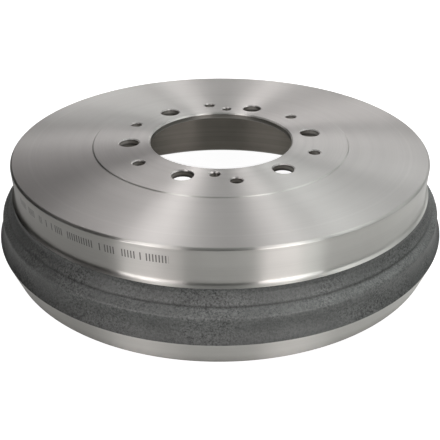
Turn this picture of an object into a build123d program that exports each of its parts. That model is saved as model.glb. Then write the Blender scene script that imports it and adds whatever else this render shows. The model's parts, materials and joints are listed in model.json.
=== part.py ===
from build123d import *
import math
import os

# A cast-iron brake drum for a six-stud pickup axle, turned after casting.
# Frame: the axis is Z, the origin lies on it in the plane of the open end's rim,
# and +Z runs from the open end to the wheel face. Millimetres and degrees.

# --- friction ring -----------------------------------------------------------
friction_d = 295.0        # new braking diameter
overall_h = 76.0          # open end's rim to wheel face
mouth_chamfer = 1.5       # lead-in for the shoes
relief_len = 9.0          # run-out behind the friction surface, for the boring tool
relief_depth = 1.0        # how far the run-out lies outside the friction surface
corner_leg = 5.0          # cast corner between run-out and web, sloped at 45 degrees

# --- web and wheel face ------------------------------------------------------
web_t = 7.5               # web outside the hub seat, up to the outer face
hub_seat_d = 180.0        # seat turned into the web's underside for the hub flange
hub_seat_t = 5.0          # iron left between hub seat and wheel face
hub_seat_slope = 3.0      # how far the seat's sloped wall runs out, up to the cast web
wheel_face_d = 192.0      # raised face that the wheel clamps on
wheel_face_raise = 0.8    # its height above the outer face

# --- bore and holes ----------------------------------------------------------
bore_d = 108.0            # pilot bore on the hub
bore_chamfer = 1.2        # at the wheel face
bore_under_chamfer = 0.8  # at the hub seat
lug_count = 6
lug_pcd = 139.7           # 6 x 5.5 in wheel pattern
lug_hole_d = 14.7         # clears an M12 wheel stud and its shoulder
lug_chamfer = 0.4
lug_phase = 9.0           # first stud hole, from +X
service_pcd = 146.8       # plain holes midway between the stud holes
service_hole_d = 8.4      # clears an M8 screw
service_chamfer = 0.5
jack_count = 2
jack_pcd = 127.6          # tapped holes that push the drum off the hub
jack_core_d = 6.8         # M8 x 1.25 core hole
jack_chamfer = 0.9
jack_phase = 87.0         # first jacking hole, from +X

# --- outside: how far each radius stands out from the turned barrel -----------
barrel_wall = 7.0         # barrel over the friction surface
barrel_chamfer = 1.3      # outer edge of the wheel end
foot_r = 3.0              # turned fillet at the barrel's foot
foot_swing = 72.0         # how far the fillet turns before it flares straight out
neck_out = 2.8            # as-cast neck under the barrel's foot
crease_out = 7.0          # small step left by the pattern's joint
shoulder_out = 11.7       # as-cast shoulder
lip_out = 15.8            # widest place, upper edge of the turned skirt
skirt_out = 10.5          # lower edge of the skirt

# --- outside: heights, the lower ones from the rim's plane --------------------
skirt_raise = 2.5         # skirt's lower edge
lip_z = 20.0
shoulder_z = 35.8
shoulder_land = 5.3       # upright wall below the shoulder
crease_rise = 4.0         # shoulder to crease
crease_step = 0.8         # height of the crease's own step
neck_rise = 5.8           # crease to the neck's lower end
neck_len = 3.8            # upright neck, up to the barrel's foot

# --- open end: rim, water groove and skirt -----------------------------------
rim_wall = 6.0            # rim that carries the friction surface at the mouth
skirt_t = 4.0             # skirt thickness at its lower edge
groove_depth = 16.0       # water groove, from the rim's plane up
groove_draft = 4.0        # draft of its two cast walls

cut_over = 1.0            # how far the cutting tools run past a face

# --- what follows from them --------------------------------------------------
friction_r = friction_d / 2
relief_r = friction_r + relief_depth
barrel_r = friction_r + barrel_wall
neck_out_r = barrel_r + neck_out
crease_out_r = barrel_r + crease_out
shoulder_out_r = barrel_r + shoulder_out
lip_r = barrel_r + lip_out
rim_r = friction_r + rim_wall
skirt_r = barrel_r + skirt_out
skirt_in_r = skirt_r - skirt_t
groove_lean = groove_depth * math.tan(math.radians(groove_draft))
hub_seat_r = hub_seat_d / 2
wheel_face_r = wheel_face_d / 2

outer_face_z = overall_h - wheel_face_raise
web_under_z = outer_face_z - web_t
hub_seat_z = overall_h - hub_seat_t
relief_z = web_under_z - relief_len
crease_z = shoulder_z + crease_rise
neck_z = crease_z + crease_step + neck_rise
foot_z = neck_z + neck_len


def cove():
    """Concave cast sweep from the skirt's upper edge to the shoulder's upright wall."""
    top_z = shoulder_z - shoulder_land
    height = top_z - lip_z
    swing = 2 * math.atan2(lip_r - shoulder_out_r, height)
    radius = height / math.sin(swing)
    middle = (
        shoulder_out_r + radius * (1 - math.cos(swing / 2)),
        top_z - radius * math.sin(swing / 2),
    )
    return ThreePointArc((lip_r, lip_z), middle, (shoulder_out_r, top_z))


def cast_swell():
    """As-cast shoulder, crease and neck, up to the edge where turning starts."""
    return Polyline(
        (shoulder_out_r, shoulder_z - shoulder_land),
        (shoulder_out_r, shoulder_z),
        (crease_out_r, crease_z),
        (crease_out_r, crease_z + crease_step),
        (neck_out_r, neck_z),
        (neck_out_r, foot_z),
    )


def barrel_foot():
    """Turned fillet at the barrel's foot and the short flare out to the neck's edge."""
    swing = math.radians(foot_swing)
    reach = foot_r * (1 - math.cos(swing))
    flare_rise = (neck_out - reach) / math.tan(swing)
    top_z = foot_z + flare_rise + foot_r * math.sin(swing)
    flare = Line((neck_out_r, foot_z), (barrel_r + reach, foot_z + flare_rise))
    middle = (
        barrel_r + foot_r * (1 - math.cos(swing / 2)),
        top_z - foot_r * math.sin(swing / 2),
    )
    return [flare, ThreePointArc(flare @ 1, middle, (barrel_r, top_z))]


def wheel_end(start):
    """Barrel, outer face, raised wheel face and the bore's wall, from the barrel's foot."""
    bore_r = bore_d / 2
    return Polyline(
        start,
        (barrel_r, outer_face_z - barrel_chamfer),
        (barrel_r - barrel_chamfer, outer_face_z),
        (wheel_face_r + wheel_face_raise, outer_face_z),
        (wheel_face_r, overall_h),
        (bore_r + bore_chamfer, overall_h),
        (bore_r, overall_h - bore_chamfer),
        (bore_r, hub_seat_z + bore_under_chamfer),
        (bore_r + bore_under_chamfer, hub_seat_z),
    )


def inside():
    """Hub seat, web, run-out, friction surface, rim and water groove, to the skirt's edge."""
    return Polyline(
        (bore_d / 2 + bore_under_chamfer, hub_seat_z),
        (hub_seat_r, hub_seat_z),
        (hub_seat_r + hub_seat_slope, web_under_z),
        (relief_r - corner_leg, web_under_z),
        (relief_r, web_under_z - corner_leg),
        (relief_r, relief_z + relief_depth),
        (friction_r, relief_z),
        (friction_r, mouth_chamfer),
        (friction_r + mouth_chamfer, 0),
        (rim_r, 0),
        (rim_r + groove_lean, groove_depth),
        (skirt_in_r - groove_lean, groove_depth),
        (skirt_in_r, skirt_raise),
        (skirt_r, skirt_raise),
    )


def section():
    """Half of the drum's section: X is the radius, Y the height."""
    skirt = Line((skirt_r, skirt_raise), (lip_r, lip_z))
    foot = barrel_foot()
    outside = [skirt, cove(), cast_swell(), *foot, wheel_end(foot[-1] @ 1)]
    return make_face([*outside, inside()])


def hole_tool(diameter, face_chamfer):
    """A solid that drills the web and breaks the hole's edge at the outer face."""
    r = diameter / 2
    outline = Polyline(
        (0, web_under_z - cut_over),
        (r, web_under_z - cut_over),
        (r, overall_h - face_chamfer),
        (r + face_chamfer + cut_over, overall_h + cut_over),
        (0, overall_h + cut_over),
        close=True,
    )
    return revolve(Plane.XZ * make_face(outline), Axis.Z)


def brake_drum():
    drum = revolve(Plane.XZ * section(), Axis.Z)
    lugs = PolarLocations(lug_pcd / 2, lug_count, start_angle=lug_phase)
    midway = lug_phase + 180 / lug_count
    services = PolarLocations(service_pcd / 2, lug_count, start_angle=midway)
    jacks = PolarLocations(jack_pcd / 2, jack_count, start_angle=jack_phase)
    drum -= lugs * hole_tool(lug_hole_d, lug_chamfer)
    drum -= services * hole_tool(service_hole_d, service_chamfer)
    drum -= jacks * hole_tool(jack_core_d, jack_chamfer)
    return drum


os.makedirs("parts", exist_ok=True)
export_step(brake_drum(), "parts/brake_drum.step")
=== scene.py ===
import json
from math import atan2, cos, hypot, pi, radians, sin, tan

import bmesh
import bpy
from mathutils import Matrix, Vector, noise


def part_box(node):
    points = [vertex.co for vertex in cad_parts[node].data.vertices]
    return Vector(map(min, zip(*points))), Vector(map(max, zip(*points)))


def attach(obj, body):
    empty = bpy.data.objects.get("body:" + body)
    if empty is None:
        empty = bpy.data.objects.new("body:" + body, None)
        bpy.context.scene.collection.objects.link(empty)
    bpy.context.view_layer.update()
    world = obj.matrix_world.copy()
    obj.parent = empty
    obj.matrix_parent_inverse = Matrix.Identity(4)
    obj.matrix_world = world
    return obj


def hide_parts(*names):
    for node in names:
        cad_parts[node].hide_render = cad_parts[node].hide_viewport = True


# A cast-iron brake drum that stands on its open end with the wheel face up. It is one
# mesh: a section turned round the axis, with the web's holes let into it and a material
# for each kind of surface. Z is the axis, and angles round it start at +X.
# Sizes and heights are in millimetres, and MM turns them into metres. What the nodes,
# the lights and the camera work with is in metres.
MM = 0.001

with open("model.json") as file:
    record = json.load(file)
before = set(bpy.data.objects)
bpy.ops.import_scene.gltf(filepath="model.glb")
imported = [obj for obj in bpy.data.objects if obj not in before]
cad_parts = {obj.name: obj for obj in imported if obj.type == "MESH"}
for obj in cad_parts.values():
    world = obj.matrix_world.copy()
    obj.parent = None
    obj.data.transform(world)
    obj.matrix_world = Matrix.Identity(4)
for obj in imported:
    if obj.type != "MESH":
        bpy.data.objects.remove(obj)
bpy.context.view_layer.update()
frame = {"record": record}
node_low, node_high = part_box("brake_drum")
mounts = {mount["name"]: mount for mount in frame["record"]["mounts"]}

# ------------------------------------------------------------------ sizes ----
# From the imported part.
TOP = node_high[2] / MM                       # wheel face
LIP_R = node_high[0] / MM                     # widest place
BORE_R = mounts["hub_bore"]["dims"]["r_mm"]
FRICTION_R = mounts["friction_surface"]["dims"]["r_mm"]
SEAT_Z = mounts["hub_seat"]["pos_m"][2] / MM
LUG_R = mounts["stud_holes"]["dims"]["hole_r_mm"]
LUG_CIRCLE = mounts["stud_holes"]["dims"]["pcd_mm"] / 2
SERVICE_R = mounts["service_holes"]["dims"]["hole_r_mm"]
SERVICE_CIRCLE = mounts["service_holes"]["dims"]["pcd_mm"] / 2
JACK_R = mounts["jacking_hole_1"]["dims"]["r_mm"]
jack_x, jack_y = mounts["jacking_hole_1"]["pos_m"][:2]
JACK_CIRCLE = hypot(jack_x, jack_y) / MM
JACK_AZ = atan2(jack_y, jack_x)

# Web and wheel face, in the CAD's sizes.
FACE_Z = TOP - 0.8                            # outer face, round the raised wheel face
WEB_Z = FACE_Z - 7.5                          # web's underside
WHEEL_FACE_R, WHEEL_FACE_FOOT_R = 96.0, 96.8
HUB_SEAT_R, HUB_SEAT_WEB_R = 90.0, 93.0       # the seat, and its sloped wall at the web
BORE_CHAMFER, BORE_UNDER_CHAMFER = 1.2, 0.8
LUG_AZ = radians(9.0)                         # first stud hole

# Outside, from the turned barrel down to the skirt.
BARREL_R = FRICTION_R + 7.0
BARREL_CHAMFER = 1.3
FOOT_Z, FOOT_R = 50.2, 3.0                    # turned fillet at the barrel's foot
FOOT_SWING = radians(72.0)
NECK_R, NECK_Z = BARREL_R + 2.8, 46.4
CREASE_TOP_R, CREASE_TOP_Z = BARREL_R + 6.5, 41.1
CREASE_R, CREASE_Z = BARREL_R + 7.0, 39.5
SHOULDER_R, SHOULDER_Z = BARREL_R + 11.7, 35.8
COVE_Z, LIP_Z = 30.5, 20.0                    # upper and lower end of the cast sweep
SKIRT_R, SKIRT_Z = BARREL_R + 10.5, 2.5

# Open end and inside.
SKIRT_IN_R = SKIRT_R - 4.0
RIM_R = FRICTION_R + 6.0
GROOVE_Z, GROOVE_LEAN = 16.0, 1.119           # water groove, and the lean of its two walls
MOUTH_CHAMFER = 1.5
RELIEF_R = FRICTION_R + 1.0                   # run-out behind the friction surface
RELIEF_LEN, RELIEF_SLOPE, CORNER_LEG = 9.0, 1.0, 5.0

# Edges and thread of the web's holes.
HOLE_CHAMFER, JACK_CHAMFER = 0.8, 0.9
BURR = 0.1                                    # broken edge at the hub seat
THREAD_PITCH, THREAD_DEPTH = 1.25, 0.6        # M8
THREAD_CREST, THREAD_FLANK = 0.28, 0.56       # their shares of half the pitch
THREAD_END = 0.3                              # height over which the thread runs out
BREAK_WIDE, BREAK_DEEP, BREAK_HIGH = 0.06, 0.05, 0.03  # broken edges of a hole's chamfer

# Relief of the cast skin: how far across and how high.
LUMP, LUMP_HIGH = 11.0, 0.10
PIT, PIT_HIGH = 4.6, 0.06
PIT_SHIFT = Vector((7, 3, 1))                 # keeps the pits apart from the lumps
WAVE_LONG, WAVE_TALL, WAVE_HIGH = 60.0, 7.0, 0.12
SKIN_SINK = 0.16                              # keeps the relief inside the CAD's box
SKIN_FADE = 1.6                               # distance from a turned edge to full relief

# Steps of the mesh.
TURN_STEPS = 640                              # round the axis
FOOT_STEPS, COVE_STEPS = 8, 12
LUG_STEPS, SMALL_STEPS = 64, 48               # round a stud hole, and round a smaller one
THREAD_STEPS = 10                             # up one pitch of the thread
CAST_STEP = 1.05                              # longest step down the cast surface
HOLED_WIDTH = 10.0                            # the faces with holes are wider, their edges not
SHARP = radians(28)                           # edges that turn further stay sharp


# ---------------------------------------------------------------- section ----
def rounded(corners):
    """Rounds the corners (r, z, radius, steps, zone) of a closed line; gives (r, z, zone).

    The zone is the kind of surface between a corner and the next.
    """
    out = []
    for i, (r, z, size, steps, zone) in enumerate(corners):
        if not size:
            out.append((r, z, zone))
            continue
        before, here = Vector(corners[i - 1][:2]), Vector((r, z))
        after = Vector(corners[(i + 1) % len(corners)][:2])
        u, v = (before - here).normalized(), (after - here).normalized()
        half = u.angle(v) / 2
        reach = min(size / tan(half), 0.45 * (before - here).length, 0.45 * (after - here).length)
        centre = here + (u + v).normalized() * (reach * tan(half) / sin(half))
        start, end = here + u * reach - centre, here + v * reach - centre
        swing = start.angle_signed(end)
        for k in range(steps + 1):
            # mathutils counts 2-D angles clockwise, so this turns the other way
            a = -swing * k / steps
            x = start.x * cos(a) - start.y * sin(a)
            y = start.x * sin(a) + start.y * cos(a)
            own = zone if k >= steps / 2 else corners[i - 1][4]
            out.append((centre.x + x, centre.y + y, own))
    return out


def barrel_foot():
    """Corners of the turned fillet between barrel and neck, from the top down."""
    reach = FOOT_R * (1 - cos(FOOT_SWING))
    flare_rise = (NECK_R - BARREL_R - reach) / tan(FOOT_SWING)
    top = FOOT_Z + flare_rise + FOOT_R * sin(FOOT_SWING)
    swings = [FOOT_SWING * k / FOOT_STEPS for k in range(FOOT_STEPS + 1)]
    return [(BARREL_R + FOOT_R * (1 - cos(a)), top - FOOT_R * sin(a), 0, 0, "turned")
            for a in swings]


def cove():
    """Corners between the ends of the cast sweep from shoulder to lip, from the top down."""
    height = COVE_Z - LIP_Z
    swing = 2 * atan2(LIP_R - SHOULDER_R, height)
    radius = height / sin(swing)
    swings = [swing * k / COVE_STEPS for k in range(1, COVE_STEPS)]
    return [(SHOULDER_R + radius * (1 - cos(a)), COVE_Z - radius * sin(a), 0, 0, "cast")
            for a in swings]


def section():
    """The drum's section: up the bore, down the outside, and back up to the hub seat."""
    return rounded([
        (BORE_R, SEAT_Z + BORE_UNDER_CHAMFER, 0.15, 1, "bore"),
        (BORE_R, TOP - BORE_CHAMFER, 0.3, 2, "turned"),
        (BORE_R + BORE_CHAMFER, TOP, 0.6, 4, "wheel_face"),
        (WHEEL_FACE_R, TOP, 0.9, 4, "turned"),
        (WHEEL_FACE_FOOT_R, FACE_Z, 0.9, 4, "face"),
        (BARREL_R - BARREL_CHAMFER, FACE_Z, 1.0, 4, "turned"),
        (BARREL_R, FACE_Z - BARREL_CHAMFER, 1.0, 4, "turned"),
        *barrel_foot(),
        (NECK_R, FOOT_Z, 0.25, 2, "cast"),
        (NECK_R, NECK_Z, 3.0, 4, "cast"),
        (CREASE_TOP_R, CREASE_TOP_Z, 1.6, 3, "cast"),
        (CREASE_R, CREASE_Z, 1.6, 3, "cast"),
        (SHOULDER_R, SHOULDER_Z, 2.5, 5, "cast"),
        (SHOULDER_R, COVE_Z, 0, 0, "cast"),
        *cove(),
        (LIP_R, LIP_Z, 0.5, 3, "turned"),
        (SKIRT_R, SKIRT_Z, 0.4, 2, "turned"),
        (SKIRT_IN_R, SKIRT_Z, 0.4, 2, "groove"),
        (SKIRT_IN_R - GROOVE_LEAN, GROOVE_Z, 1.8, 4, "groove"),
        (RIM_R + GROOVE_LEAN, GROOVE_Z, 1.8, 4, "groove"),
        (RIM_R, 0.0, 0.4, 2, "turned"),
        (FRICTION_R + MOUTH_CHAMFER, 0.0, 0.3, 2, "turned"),
        (FRICTION_R, MOUTH_CHAMFER, 0.3, 2, "friction"),
        (FRICTION_R, WEB_Z - RELIEF_LEN, 0.2, 1, "turned"),
        (RELIEF_R, WEB_Z - RELIEF_LEN + RELIEF_SLOPE, 0.2, 1, "turned"),
        (RELIEF_R, WEB_Z - CORNER_LEG, 3.0, 3, "groove"),
        (RELIEF_R - CORNER_LEG, WEB_Z, 3.0, 3, "groove"),
        (HUB_SEAT_WEB_R, WEB_Z, 1.0, 2, "groove"),
        (HUB_SEAT_R, SEAT_Z, 0.3, 1, "seat"),
        (BORE_R + BORE_UNDER_CHAMFER, SEAT_Z, 0.15, 1, "bore"),
    ])


def divided(points, zone, step):
    """Cuts this zone's segments into pieces no longer than step."""
    out = []
    for i, (r, z, own) in enumerate(points):
        out.append((r, z, own))
        if own == zone:
            next_r, next_z, _ = points[(i + 1) % len(points)]
            pieces = int(hypot(next_r - r, next_z - z) / step) + 1
            for k in range(1, pieces):
                share = k / pieces
                out.append((r + (next_r - r) * share, z + (next_z - z) * share, own))
    return out


# ------------------------------------------------------------------- mesh ----
SLOTS = ("turned", "cast", "friction", "drilled", "groove", "face", "bore", "broken")
HOLED = ("wheel_face", "seat")                # they share the outer face's slot
bm = bmesh.new()


def slot_of(zone):
    """Number of the material slot for this kind of surface."""
    return SLOTS.index("face" if zone in HOLED else zone)


def vertex(x, y, z):
    """A new vertex, from millimetres."""
    return bm.verts.new((x * MM, y * MM, z * MM))


def ring(radius, height, steps=TURN_STEPS, cx=0.0, cy=0.0):
    """A level circle of vertices, round the drum's axis or round a hole's."""
    turns = [2 * pi * k / steps for k in range(steps)]
    return [vertex(cx + radius * cos(a), cy + radius * sin(a), height) for a in turns]


def bridge(a, b, zone):
    """Quads between two rings of equal count."""
    for k in range(len(a)):
        after = (k + 1) % len(a)
        face = bm.faces.new((a[k], a[after], b[after], b[k]))
        face.material_index = slot_of(zone)


def cap(loops, zone, up):
    """Fills the flat face inside the first loop and outside the others."""
    edges = []
    for loop in loops:
        for k in range(len(loop)):
            ends = (loop[k - 1], loop[k])
            edges.append(bm.edges.get(ends) or bm.edges.new(ends))
    towards = (0, 0, 1 if up else -1)
    made = bmesh.ops.triangle_fill(bm, use_beauty=True, edges=edges, normal=towards)
    for item in made["geom"]:
        if isinstance(item, bmesh.types.BMFace):
            item.material_index = slot_of(zone)
            item.normal_update()
            if (item.normal.z > 0) != up:
                item.normal_flip()


def skin(x, y, z):
    """Height of the cast skin's lumps, pits and waves, in mm."""
    place = Vector((x, y, z))
    lumps = noise.noise(place / LUMP) * LUMP_HIGH
    pits = noise.noise(place / PIT + PIT_SHIFT) * PIT_HIGH
    waves = noise.noise(Vector((x / WAVE_LONG, y / WAVE_LONG, z / WAVE_TALL))) * WAVE_HIGH
    return lumps + pits + waves


def roughen(made, height, before, after):
    """Moves a ring of the cast surface along its normal by the skin's height."""
    along = Vector((after[0] - before[0], after[1] - before[1])).normalized()
    out = Vector((-along.y, along.x))
    if out.x < 0:
        out = -out
    fade = min(1.0, min(abs(height - FOOT_Z), abs(height - LIP_Z)) / SKIN_FADE)
    for v in made:
        a = atan2(v.co.y, v.co.x)
        lift = skin(v.co.x / MM, v.co.y / MM, v.co.z / MM) * fade - SKIN_SINK * fade
        v.co += Vector((out.x * cos(a), out.x * sin(a), out.y)) * (lift * MM)


def thread(cx, cy, radius, top, low, steps):
    """Rings of the thread in a hole's wall between two heights."""
    count = int((top - low) / (THREAD_PITCH / THREAD_STEPS))
    rows = []
    for k in range(1, count):
        height = top + (low - top) * k / count
        fade = min(1.0, (top - height) / THREAD_END, (height - low) / THREAD_END)
        row = []
        for j in range(steps):
            a = 2 * pi * j / steps
            wave = 1 - abs(2 * ((height / THREAD_PITCH - j / steps) % 1.0) - 1)
            share = min(1.0, max(0.0, (wave - THREAD_CREST) / THREAD_FLANK))
            cut = share * THREAD_DEPTH * fade
            row.append(vertex(cx + (radius + cut) * cos(a), cy + (radius + cut) * sin(a), height))
        rows.append(row)
    return rows


def hole(circle, azimuth, radius, chamfer, steps, threaded=False):
    """A hole through the web; gives its loops in the wheel face and in the hub seat."""
    cx, cy = circle * cos(azimuth), circle * sin(azimuth)
    top, low = TOP - chamfer - BREAK_DEEP, SEAT_Z + BURR
    rows = [
        (radius + chamfer + BREAK_WIDE, TOP),
        (radius + chamfer - BREAK_WIDE, TOP - BREAK_DEEP),
        (radius + BREAK_DEEP, TOP - chamfer + BREAK_HIGH),
        (radius, top),
    ]
    loops = [ring(r, z, steps, cx, cy) for r, z in rows]
    if threaded:
        loops += thread(cx, cy, radius, top, low, steps)
    loops += [ring(radius, low, steps, cx, cy), ring(radius + BURR, SEAT_Z, steps, cx, cy)]
    # the threaded holes' walls take the bore's darker iron: painted shade inside these holes
    wall = "bore" if threaded else "drilled"
    mouth = ["broken", "face", wall if threaded else "broken"]
    zones = mouth + [wall] * (len(loops) - 1 - len(mouth))
    for a, b, zone in zip(loops, loops[1:], zones):
        bridge(a, b, zone)
    return loops[0], loops[-1]


line = divided(section(), "cast", CAST_STEP)
rings = []
for i, (r, z, zone) in enumerate(line):
    before, after = line[i - 1], line[(i + 1) % len(line)]
    made = ring(r, z)
    if zone == before[2] == "cast":
        roughen(made, z, before, after)
    rings.append(made)

holed = {}
for i, (r, z, zone) in enumerate(line):
    j = (i + 1) % len(line)
    if zone in HOLED and hypot(line[j][0] - r, line[j][1] - z) > HOLED_WIDTH:
        holed[zone] = rings[i], rings[j]
    else:
        bridge(rings[i], rings[j], zone)

holes = []
for k in range(6):
    a = LUG_AZ + k * pi / 3
    holes.append(hole(LUG_CIRCLE, a, LUG_R, HOLE_CHAMFER, LUG_STEPS))
    holes.append(hole(SERVICE_CIRCLE, a + pi / 6, SERVICE_R, HOLE_CHAMFER, SMALL_STEPS))
for k in range(2):
    a = JACK_AZ + k * pi
    holes.append(hole(JACK_CIRCLE, a, JACK_R, JACK_CHAMFER, SMALL_STEPS, threaded=True))
tops, seats = zip(*holes)
face_inner, face_outer = holed["wheel_face"]
seat_outer, seat_inner = holed["seat"]
cap([face_outer, face_inner, *tops], "wheel_face", True)
cap([seat_outer, seat_inner, *seats], "seat", False)

bmesh.ops.recalc_face_normals(bm, faces=bm.faces[:])
for edge in bm.edges:
    if len(edge.link_faces) == 2 and edge.calc_face_angle(0) > SHARP:
        edge.smooth = False
for face in bm.faces:
    face.smooth = True
mesh = bpy.data.meshes.new("drum_casting")
bm.to_mesh(mesh)
bm.free()


def new_object(name, data):
    """An object with this data, linked to the scene."""
    item = bpy.data.objects.new(name, data)
    bpy.context.scene.collection.objects.link(item)
    return item


drum = new_object("drum_casting", mesh)
shading = drum.modifiers.new("face weighted normals", "WEIGHTED_NORMAL")
shading.mode = "FACE_AREA"
shading.weight = 100
shading.keep_sharp = True


# -------------------------------------------------------------- materials ----
class Nodes:
    """Builds one node tree. A value is a number, a colour or another node's socket."""

    def __init__(self, tree, output):
        self.tree = tree
        tree.nodes.clear()
        self.out = self.add(output)

    def add(self, kind, inputs=None, **settings):
        """A new node; inputs holds the values of its sockets by name or number."""
        node = self.tree.nodes.new(kind)
        for key, value in settings.items():
            setattr(node, key, value)
        for key, value in (inputs or {}).items():
            if isinstance(value, bpy.types.NodeSocket):
                self.tree.links.new(value, node.inputs[key])
            else:
                node.inputs[key].default_value = value
        return node

    def surface(self, node):
        """Makes this shader the tree's result."""
        self.tree.links.new(node.outputs[0], self.out.inputs["Surface"])

    def math(self, operation, *values):
        node = self.add("ShaderNodeMath", dict(enumerate(values)), operation=operation)
        return node.outputs[0]

    def times(self, a, b):
        return self.math("MULTIPLY", a, b)

    def plus(self, a, b):
        return self.math("ADD", a, b)

    def minus(self, a, b):
        return self.math("SUBTRACT", a, b)

    def place(self):
        """The object's own coordinates: as one vector, and as x, y and z."""
        coords = self.add("ShaderNodeTexCoord").outputs["Object"]
        return coords, *self.add("ShaderNodeSeparateXYZ", {0: coords}).outputs

    def radius(self, x, y):
        return self.math("SQRT", self.plus(self.times(x, x), self.times(y, y)))

    def noise(self, vector, scale, detail=2.0, rough=0.5):
        """Noise with this many lumps to a metre."""
        inputs = {"Vector": vector, "Scale": scale, "Detail": detail, "Roughness": rough}
        return self.add("ShaderNodeTexNoise", inputs, noise_dimensions="3D").outputs["Fac"]

    def span(self, value, low, high, to_low=0.0, to_high=1.0):
        """The value moved from one range to another, and held inside it."""
        inputs = {0: value, 1: low, 2: high, 3: to_low, 4: to_high}
        return self.add("ShaderNodeMapRange", inputs).outputs[0]

    def ramp(self, value, stops, interpolation="LINEAR"):
        """Colour ramp through the stops (place, colour or grey level)."""
        node = self.add("ShaderNodeValToRGB", {0: value})
        node.color_ramp.interpolation = interpolation
        while len(node.color_ramp.elements) < len(stops):
            node.color_ramp.elements.new(1.0)
        for element, (at, tone) in zip(node.color_ramp.elements, stops):
            element.position = at
            element.color = (*(tone if isinstance(tone, tuple) else (tone,) * 3), 1)
        return node.outputs[0]

    def mix(self, a, b, share, blend="MIX"):
        """Mixes two colours."""
        inputs = {0: share, 6: a, 7: b}
        node = self.add("ShaderNodeMix", inputs, data_type="RGBA", blend_type=blend)
        return node.outputs[2]

    def shaded(self, colour, value, painted_light_levels):
        """The colour multiplied by a grey ramp."""
        return self.mix(colour, self.ramp(value, painted_light_levels), 1.0, "MULTIPLY")

    def bump(self, height, strength, distance):
        inputs = {"Height": height, "Strength": strength, "Distance": distance}
        return self.add("ShaderNodeBump", inputs).outputs[0]

    def seen(self, rays):
        """1 where the camera itself looks, from the outputs of a Light Path node."""
        return self.math("MAXIMUM", rays["Is Camera Ray"], rays["Is Transmission Ray"])


def new_material(name):
    """A new material and the builder of its nodes."""
    material = bpy.data.materials.new(name)
    material.use_nodes = True
    return material, Nodes(material.node_tree, "ShaderNodeOutputMaterial")


MARK_TOP, MARK_LOW = TOP - 7.2, TOP - 12.2    # upper and lower end of the peened band
MARK_GROUPS = (                               # where its groups start and end, in degrees
    (-147.2, -143.0), (-141.5, -138.2), (-136.2, -134.7), (-133.5, -132.5), (-131.0, -127.0),
    (-125.7, -123.0), (-122.5, -117.5), (-116.2, -115.4), (-114.7, -112.2), (-110.7, -100.0),
)
MARK_FROM, MARK_TO = -180, -90                # the groups lie between these
MARK_PITCH = 0.70                             # degrees from tick to tick
MARK_HALF = 0.21                              # half a tick's width, as a share of the pitch
MARK_GAPS = 0.12                              # share of the ticks that are left out
MARK_DOTS = 7.0                               # dots in a tick
MARK_DARK = (0.045, 0.044, 0.042, 1)
MARK_COVER, MARK_DEPTH = 0.85, 2.0            # how much a tick darkens, and its part of the bump


def peened(n, x, y, z):
    """Mask of dot-peened ticks in groups round the barrel's upper edge. They spell nothing."""
    turn = n.times(n.math("ARCTAN2", y, x), 180 / pi)
    width = MARK_TO - MARK_FROM
    stops = [(0.0, 0.0)]
    for start, end in MARK_GROUPS:
        stops += [((start - MARK_FROM) / width, 1.0), ((end - MARK_FROM) / width, 0.0)]
    groups = n.ramp(n.span(turn, MARK_FROM, MARK_TO), stops, "CONSTANT")
    cells = n.math("DIVIDE", turn, MARK_PITCH)
    pick = n.add("ShaderNodeTexWhiteNoise", {"W": n.math("FLOOR", cells)}, noise_dimensions="1D")
    up = n.span(z, MARK_LOW * MM, MARK_TOP * MM)
    in_band = n.times(n.math("GREATER_THAN", up, 0.001), n.math("LESS_THAN", up, 0.999))
    across = n.math("ABSOLUTE", n.minus(n.math("FRACT", cells), 0.5))
    ticks = n.times(n.math("LESS_THAN", across, MARK_HALF),
                    n.math("GREATER_THAN", pick.outputs["Value"], MARK_GAPS))
    from_dot = n.math("ABSOLUTE", n.minus(n.math("FRACT", n.times(up, MARK_DOTS)), 0.5))
    dots = n.span(from_dot, 0.30, 0.48, 1.0, 0.55)  # paler between two dots
    return n.times(n.times(in_band, groups), n.times(ticks, dots))


# Noise scales, in lumps to a metre, and depths of the bumps in metres.
TOOL_MARKS, TOOL_BANDS, BLOTCHES = 2600.0, 160.0, 26.0
SAND, GRIT = 1 / 0.0014, 2.1 / 0.0014
CLOUDS, SMOOTH_PATCHES = 60.0, 34.0
TOOL_DEPTH, SAND_DEPTH = 0.00002, 0.0004


def turned_iron(name, tone, rough, aniso, marks=0.25, swing=0.06, stamped=False, painted_light_levels=()):
    """Bright turned iron: rings of fine tool marks, and a highlight drawn out across them.

    marks is the strength of the tool marks, swing how far the tone goes up and down, and
    levels is painted shade on a hole's wall, by the share of the way up from the hub seat.
    """
    material, n = new_material(name)
    coords, x, y, z = n.place()
    ring_at = n.add("ShaderNodeCombineXYZ", {0: n.radius(x, y), 1: z}).outputs[0]
    fine = n.noise(ring_at, TOOL_MARKS, 1.0)
    bands = n.noise(ring_at, TOOL_BANDS, 4.0, 0.7)
    blotch = n.noise(coords, BLOTCHES, 3.0)
    dark, light = tuple(c * (1 - swing) for c in tone), tuple(c * (1 + swing) for c in tone)
    mottle = n.plus(n.times(bands, 0.6), n.times(blotch, 0.4))
    colour = n.ramp(mottle, [(0.36, dark), (0.64, light)])
    height = fine
    # painted shade up a hole's wall, darker towards its top and its bottom
    if painted_light_levels:
        colour = n.shaded(colour, n.span(z, SEAT_Z * MM, TOP * MM), painted_light_levels)
    if stamped:
        mask = peened(n, x, y, z)
        colour = n.mix(colour, MARK_DARK, n.times(mask, MARK_COVER))
        height = n.minus(fine, n.times(mask, MARK_DEPTH))
    n.surface(n.add("ShaderNodeBsdfPrincipled", {
        "Base Color": colour,
        "Metallic": 1.0,
        "Roughness": n.span(fine, 0.3, 0.7, rough - 0.03, rough + 0.03),
        "Anisotropic": aniso,
        "Anisotropic Rotation": 0.25,
        "Tangent": n.add("ShaderNodeTangent", direction_type="RADIAL", axis="Z").outputs[0],
        "Normal": n.bump(height, marks, TOOL_DEPTH),
    }))
    return material


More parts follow.
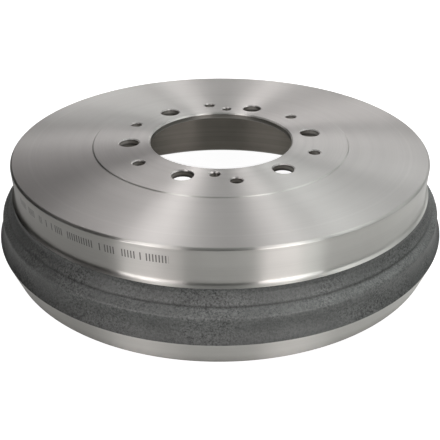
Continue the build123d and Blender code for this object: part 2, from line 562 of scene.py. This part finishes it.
SHADE_LOW, SHADE_HIGH = 18.0, 54.0            # the cast skin's painted light and shade lies between these heights
SHADE_WANDER = 0.0010                         # their edges wander up and down, in metres


def cast_iron(name, dark, light, painted_light_levels=()):
    """As-cast iron: sandy grain, mottled and dull. Its levels paint light and shade by height, in
    mm.
    """
    material, n = new_material(name)
    coords, _, _, z = n.place()
    sand = n.noise(coords, SAND, 2.0, 0.7)
    grit = n.noise(coords, GRIT, 1.0)
    cloud = n.noise(coords, CLOUDS, 3.0)
    grain = n.plus(n.times(sand, 0.60), n.plus(n.times(grit, 0.25), n.times(cloud, 0.15)))
    grainy = n.ramp(grain, [(0.385, dark), (0.61, light)])
    middle = (*[(a + b) / 2 for a, b in zip(dark, light)], 1)
    smooth_share = n.span(n.noise(coords, SMOOTH_PATCHES, 2.0), 0.42, 0.60, 0.0, 0.45)
    colour = n.mix(grainy, middle, smooth_share)
    # painted light and shade: the colour is darkened or lightened by height, with wandering edges
    if painted_light_levels:
        wander = n.times(n.minus(cloud, 0.5), SHADE_WANDER)
        height = n.span(n.plus(z, wander), SHADE_LOW * MM, SHADE_HIGH * MM)
        tall = SHADE_HIGH - SHADE_LOW
        colour = n.shaded(colour, height, [((at - SHADE_LOW) / tall, k) for at, k in painted_light_levels])
    n.surface(n.add("ShaderNodeBsdfPrincipled", {
        "Base Color": colour,
        "Metallic": 0.9,
        "Roughness": n.span(sand, 0.3, 0.7, 0.50, 0.66),
        "Normal": n.bump(grain, 1.0, SAND_DEPTH),
    }))
    return material


materials = {
    "turned": turned_iron("turned_iron", (0.562, 0.562, 0.532), 0.33, 1.0, stamped=True),
    "face": turned_iron("faced_iron", (0.562, 0.557, 0.538), 0.44, 1.0, swing=0.045),
    "friction": turned_iron("friction_iron", (0.25, 0.235, 0.205), 0.33, 1.0,
                            marks=0.5, swing=0.16),
    # painted shade darkens each drilled hole's wall towards its top and its bottom; the middle
    # keeps the full tone
    "drilled": turned_iron("drilled_iron", (0.50, 0.48, 0.445), 0.40, 0.0, painted_light_levels=[
        (0.0, 0.30), (0.22, 0.40), (0.42, 1.0), (0.58, 0.95), (0.80, 0.40), (1.0, 0.30)]),
    # The bore's iron is darker than the turned iron: painted shade on the bore's wall and in the
    # threaded holes.
    "bore": turned_iron("bored_iron", (0.30, 0.29, 0.265), 0.30, 0.8),
    "broken": turned_iron("broken_edge", (0.56, 0.55, 0.52), 0.26, 0.0, marks=0.1),
    # The cast skin's levels are painted light and shade: painted shade in the crease at 40.2 mm,
    # under the barrel's foot and down the lower wall and cove, and a painted highlight on the
    # shoulder's top near 37-39 mm.
    "cast": cast_iron("cast_skin", (0.0785, 0.0824, 0.0798), (0.245, 0.2575, 0.249), painted_light_levels=[
        (20, 0.72), (28, 0.84), (35, 0.98), (37.3, 1.18), (38.8, 1.12), (40.2, 0.50),
        (41.6, 0.96), (44, 0.83), (46.5, 0.80), (48.5, 0.90), (50, 0.80)]),
    "groove": cast_iron("cast_inside", (0.075, 0.073, 0.069), (0.21, 0.206, 0.195)),
}
for slot in SLOTS:
    mesh.materials.append(materials[slot])
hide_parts("brake_drum")
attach(drum, "root")

# ------------------------------------------------------------------ stage ----
WHITE = (1, 1, 1, 1)
FLOOR_HALF = 6.0                              # half the floor's side
FLOOR_WHITE = 0.96                            # how bright the camera sees the floor
MIRROR_SIDE = 0.4                             # the floor's painted reflection glow brightens from -X to +X of this
SHADOW_RING_IN, SHADOW_RING_OUT = 0.150, 0.180              # radii of the painted contact shadow, a dark ring in that glow

floor_mesh = bpy.data.meshes.new("floor")
floor_mesh.from_pydata([(x * FLOOR_HALF, y * FLOOR_HALF, 0)
                        for x, y in ((-1, -1), (1, -1), (1, 1), (-1, 1))], [], [(0, 1, 2, 3)])
floor = new_object("floor", floor_mesh)
floor.location.z = node_low[2]

floor_material, n = new_material("pale_floor")
floor_mesh.materials.append(floor_material)
rays = n.add("ShaderNodeLightPath").outputs
_, x, y, _ = n.place()
# For glossy rays the floor glows as a painted reflection: dark on the left, lighter on the
# right, and a painted contact shadow as a black ring under the skirt's edge.
painted_side_glow = n.ramp(n.span(x, -MIRROR_SIDE, MIRROR_SIDE),
              [(0.0, 0.0), (0.375, 0.175), (0.49, 0.335), (0.75, 0.335), (1.0, 0.45)])
painted_contact_shadow = n.ramp(n.span(n.radius(x, y), SHADOW_RING_IN, SHADOW_RING_OUT),
                 [(0.0, 1.0), (0.35, 0.0), (0.54, 0.0), (0.66, 1.0)])
painted_reflection_glow = n.times(rays["Is Glossy Ray"], n.times(painted_side_glow, painted_contact_shadow))
strength = n.math("MAXIMUM", n.times(n.seen(rays), FLOOR_WHITE), painted_reflection_glow)
pale = n.add("ShaderNodeBsdfDiffuse", {"Color": (0.48, 0.48, 0.475, 1)})
glow = n.add("ShaderNodeEmission", {"Color": WHITE, "Strength": strength})
n.surface(n.add("ShaderNodeAddShader", {0: pale.outputs[0], 1: glow.outputs[0]}))

# The world is white for the camera and lights nothing.
world = bpy.data.worlds.new("studio")
world.use_nodes = True
bpy.context.scene.world = world
n = Nodes(world.node_tree, "ShaderNodeOutputWorld")
seen = n.seen(n.add("ShaderNodeLightPath").outputs)
n.surface(n.add("ShaderNodeBackground", {"Color": WHITE, "Strength": seen}))

LAMP_REACH = 1.5                              # from the point that the lamps look at
LAMP_AIM = Vector((0, 0, 0.05))


def softbox(name, azimuth, elevation, width, height, power, colour):
    """A rectangular soft light that looks at the drum from this azimuth and elevation."""
    light = bpy.data.lights.new(name, "AREA")
    light.shape = "RECTANGLE"
    light.size, light.size_y = width, height
    light.energy = power
    light.color = colour
    item = new_object(name, light)
    a, e = radians(azimuth), radians(elevation)
    offset = Vector((cos(a) * cos(e), sin(a) * cos(e), sin(e))) * LAMP_REACH
    item.location = offset + LAMP_AIM
    item.rotation_euler = (-offset).to_track_quat("-Z", "Y").to_euler()


WARM, MILD, PLAIN = (1.0, 0.925, 0.94), (1.0, 0.96, 0.968), (0.99, 1.0, 1.0)
for row in (
    ("softbox_left", -132, 32, 0.25, 1.9, 3.4, MILD),
    ("softbox_left_b", -122, 32, 0.25, 1.9, 0.6, MILD),
    ("softbox_left_low_a", -132, 16, 0.25, 0.8, 0.8, WARM),
    ("softbox_left_low_b", -122, 16, 0.25, 0.8, 2.2, WARM),
    ("softbox_left_low_c", -112, 16, 0.25, 0.8, 1.4, WARM),
    ("softbox_right", -46, 30, 0.25, 1.7, 2.8, PLAIN),
    ("softbox_right_low_a", -66, 16, 0.25, 0.8, 2.9, WARM),
    ("softbox_right_low_b", -56, 16, 0.25, 0.8, 3.1, WARM),
    ("softbox_right_low_c", -46, 16, 0.25, 0.8, 0.4, PLAIN),
    ("softbox_right_top", -58, 48, 0.5, 0.8, 0.7, PLAIN),
    ("softbox_side_high", -10, 45, 0.6, 0.6, 1.4, PLAIN),
    ("softbox_side", 24, 28, 1.3, 0.9, 2.2, PLAIN),
    ("softbox_side_b", 5, 26, 0.9, 0.7, 0.6, PLAIN),
    ("softbox_side_top", 10, 52, 1.2, 0.5, 2.5, PLAIN),
    ("softbox_above", 0, 88, 1.3, 1.3, 4.0, PLAIN),
    ("softbox_back_a", 60, 20, 1.3, 0.6, 1.5, PLAIN),
    ("softbox_back_b", 90, 20, 1.3, 0.6, 2.2, MILD),
    ("softbox_back_high_a", 65, 45, 0.5, 0.5, 1.0, PLAIN),
    ("softbox_back_high_b", 110, 45, 0.5, 0.5, 1.8, MILD),
    ("softbox_back_high_c", 120, 45, 1.2, 0.5, 0.7, MILD),
    ("softbox_back_high_d", 150, 50, 1.0, 0.5, 0.4, MILD),
    ("softbox_back_top", 85, 60, 0.9, 0.6, 1.7, MILD),
    ("softbox_back_top_b", 150, 68, 0.6, 0.5, 0.7, MILD),
):
    softbox(*row)

# ----------------------------------------------------------------- camera ----
CAMERA_AT = (0.00828, -0.42391, 0.25210)
LOOKS_DOWN, ROLL = 30.476, 0.322              # degrees below level, and round the line of sight

cam_data = bpy.data.cameras.new("camera")
cam_data.sensor_width = 36.0
cam_data.lens = 48.506
cam_data.shift_x = -0.02606
cam_data.clip_start = 0.01
cam_data.clip_end = 50.0
camera = new_object("camera", cam_data)
camera.matrix_world = (
    Matrix.Translation(CAMERA_AT)
    @ Matrix.Rotation(radians(90 - LOOKS_DOWN), 4, "X")
    @ Matrix.Rotation(radians(ROLL), 4, "Z")
)
bpy.context.scene.camera = camera
bpy.context.scene.view_settings.view_transform = "Standard"
